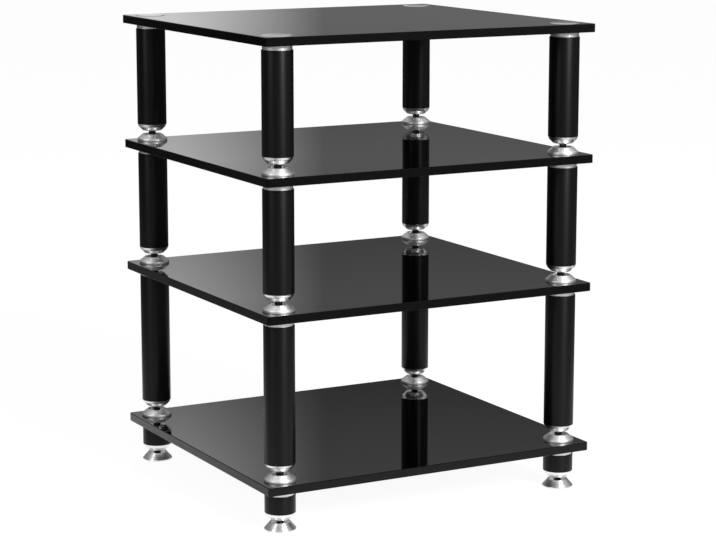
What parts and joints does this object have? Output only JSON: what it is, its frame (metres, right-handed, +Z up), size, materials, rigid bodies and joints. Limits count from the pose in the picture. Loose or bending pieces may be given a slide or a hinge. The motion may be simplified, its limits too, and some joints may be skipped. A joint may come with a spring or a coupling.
{
  "type": "audio equipment rack",
  "caption": "Open audio rack of square black glass shelves, stacked in tiers on round black columns with spike cones standing in turned dishes.",
  "frame": {"origin": "on the floor under the middle of the shelves, where the floor pads stand", "axes": "+Z up; +X along the width, to the right seen from the front; -Y is the front, +Y the back"},
  "size_m": [0.6, 0.56, 0.7845],
  "materials": {
    "black_glass": "polished black float glass, opaque, edges ground and polished",
    "black_anodised_aluminium": "satin black anodised",
    "chromed_metal": "turned and chromed, bright",
    "black_steel": "blackened steel spike"
  },
  "bodies": {
    "base_tier": {"base_glass_shelf": "black_glass", "base_column_front_left": "black_anodised_aluminium", "base_column_front_right": "black_anodised_aluminium", "base_column_back_left": "black_anodised_aluminium", "base_column_back_right": "black_anodised_aluminium", "base_spike_cone_front_left": "chromed_metal", "base_spike_cone_front_right": "chromed_metal", "base_spike_cone_back_left": "chromed_metal", "base_spike_cone_back_right": "chromed_metal", "base_spike_dish_front_left": "chromed_metal", "base_spike_dish_front_right": "chromed_metal", "base_spike_dish_back_left": "chromed_metal", "base_spike_dish_back_right": "chromed_metal"},
    "lower_tier": {"lower_glass_shelf": "black_glass", "lower_column_front_left": "black_anodised_aluminium", "lower_column_front_right": "black_anodised_aluminium", "lower_column_back_left": "black_anodised_aluminium", "lower_column_back_right": "black_anodised_aluminium", "lower_spike_cone_front_left": "chromed_metal", "lower_spike_cone_front_right": "chromed_metal", "lower_spike_cone_back_left": "chromed_metal", "lower_spike_cone_back_right": "chromed_metal", "lower_spike_dish_front_left": "chromed_metal", "lower_spike_dish_front_right": "chromed_metal", "lower_spike_dish_back_left": "chromed_metal", "lower_spike_dish_back_right": "chromed_metal"},
    "upper_tier": {"upper_glass_shelf": "black_glass", "upper_column_front_left": "black_anodised_aluminium", "upper_column_front_right": "black_anodised_aluminium", "upper_column_back_left": "black_anodised_aluminium", "upper_column_back_right": "black_anodised_aluminium", "upper_spike_cone_front_left": "chromed_metal", "upper_spike_cone_front_right": "chromed_metal", "upper_spike_cone_back_left": "chromed_metal", "upper_spike_cone_back_right": "chromed_metal", "upper_spike_dish_front_left": "chromed_metal", "upper_spike_dish_front_right": "chromed_metal", "upper_spike_dish_back_left": "chromed_metal", "upper_spike_dish_back_right": "chromed_metal"},
    "top_tier": {"top_glass_shelf": "black_glass", "top_column_front_left": "black_anodised_aluminium", "top_column_front_right": "black_anodised_aluminium", "top_column_back_left": "black_anodised_aluminium", "top_column_back_right": "black_anodised_aluminium", "top_spike_cone_front_left": "chromed_metal", "top_spike_cone_front_right": "chromed_metal", "top_spike_cone_back_left": "chromed_metal", "top_spike_cone_back_right": "chromed_metal", "top_shelf_cap_front_left": "chromed_metal", "top_shelf_cap_front_right": "chromed_metal", "top_shelf_cap_back_left": "chromed_metal", "top_shelf_cap_back_right": "chromed_metal"},
    "foot_spike_front_left": {"levelling_spike_front_left": "black_steel"},
    "foot_spike_front_right": {"levelling_spike_front_right": "black_steel"},
    "foot_spike_back_left": {"levelling_spike_back_left": "black_steel"},
    "foot_spike_back_right": {"levelling_spike_back_right": "black_steel"},
    "foot_pad_front_left": {"floor_pad_front_left": "chromed_metal"},
    "foot_pad_front_right": {"floor_pad_front_right": "chromed_metal"},
    "foot_pad_back_left": {"floor_pad_back_left": "chromed_metal"},
    "foot_pad_back_right": {"floor_pad_back_right": "chromed_metal"}
  },
  "joints": [
    {"name": "lower_tier_lift", "type": "slide", "parent": "base_tier", "child": "lower_tier", "axis": [0, 0, 1], "range_m": [0, 0.1]},
    {"name": "upper_tier_lift", "type": "slide", "parent": "lower_tier", "child": "upper_tier", "axis": [0, 0, 1], "range_m": [0, 0.1]},
    {"name": "top_tier_lift", "type": "slide", "parent": "upper_tier", "child": "top_tier", "axis": [0, 0, 1], "range_m": [0, 0.1]},
    {"name": "levelling_front_left", "type": "slide", "parent": "base_tier", "child": "foot_spike_front_left", "axis": [0, 0, -1], "range_m": [0, 0.008]},
    {"name": "levelling_front_right", "type": "slide", "parent": "base_tier", "child": "foot_spike_front_right", "axis": [0, 0, -1], "range_m": [0, 0.008]},
    {"name": "levelling_back_left", "type": "slide", "parent": "base_tier", "child": "foot_spike_back_left", "axis": [0, 0, -1], "range_m": [0, 0.008]},
    {"name": "levelling_back_right", "type": "slide", "parent": "base_tier", "child": "foot_spike_back_right", "axis": [0, 0, -1], "range_m": [0, 0.008]},
    {"name": "pad_swivel_front_left", "type": "hinge", "parent": "foot_spike_front_left", "child": "foot_pad_front_left", "pos_m": [-0.263, -0.243, 0.0033], "axis": [0, 0, 1], "continuous": true},
    {"name": "pad_swivel_front_right", "type": "hinge", "parent": "foot_spike_front_right", "child": "foot_pad_front_right", "pos_m": [0.263, -0.243, 0.0033], "axis": [0, 0, 1], "continuous": true},
    {"name": "pad_swivel_back_left", "type": "hinge", "parent": "foot_spike_back_left", "child": "foot_pad_back_left", "pos_m": [-0.263, 0.243, 0.0033], "axis": [0, 0, 1], "continuous": true},
    {"name": "pad_swivel_back_right", "type": "hinge", "parent": "foot_spike_back_right", "child": "foot_pad_back_right", "pos_m": [0.263, 0.243, 0.0033], "axis": [0, 0, 1], "continuous": true}
  ]
}
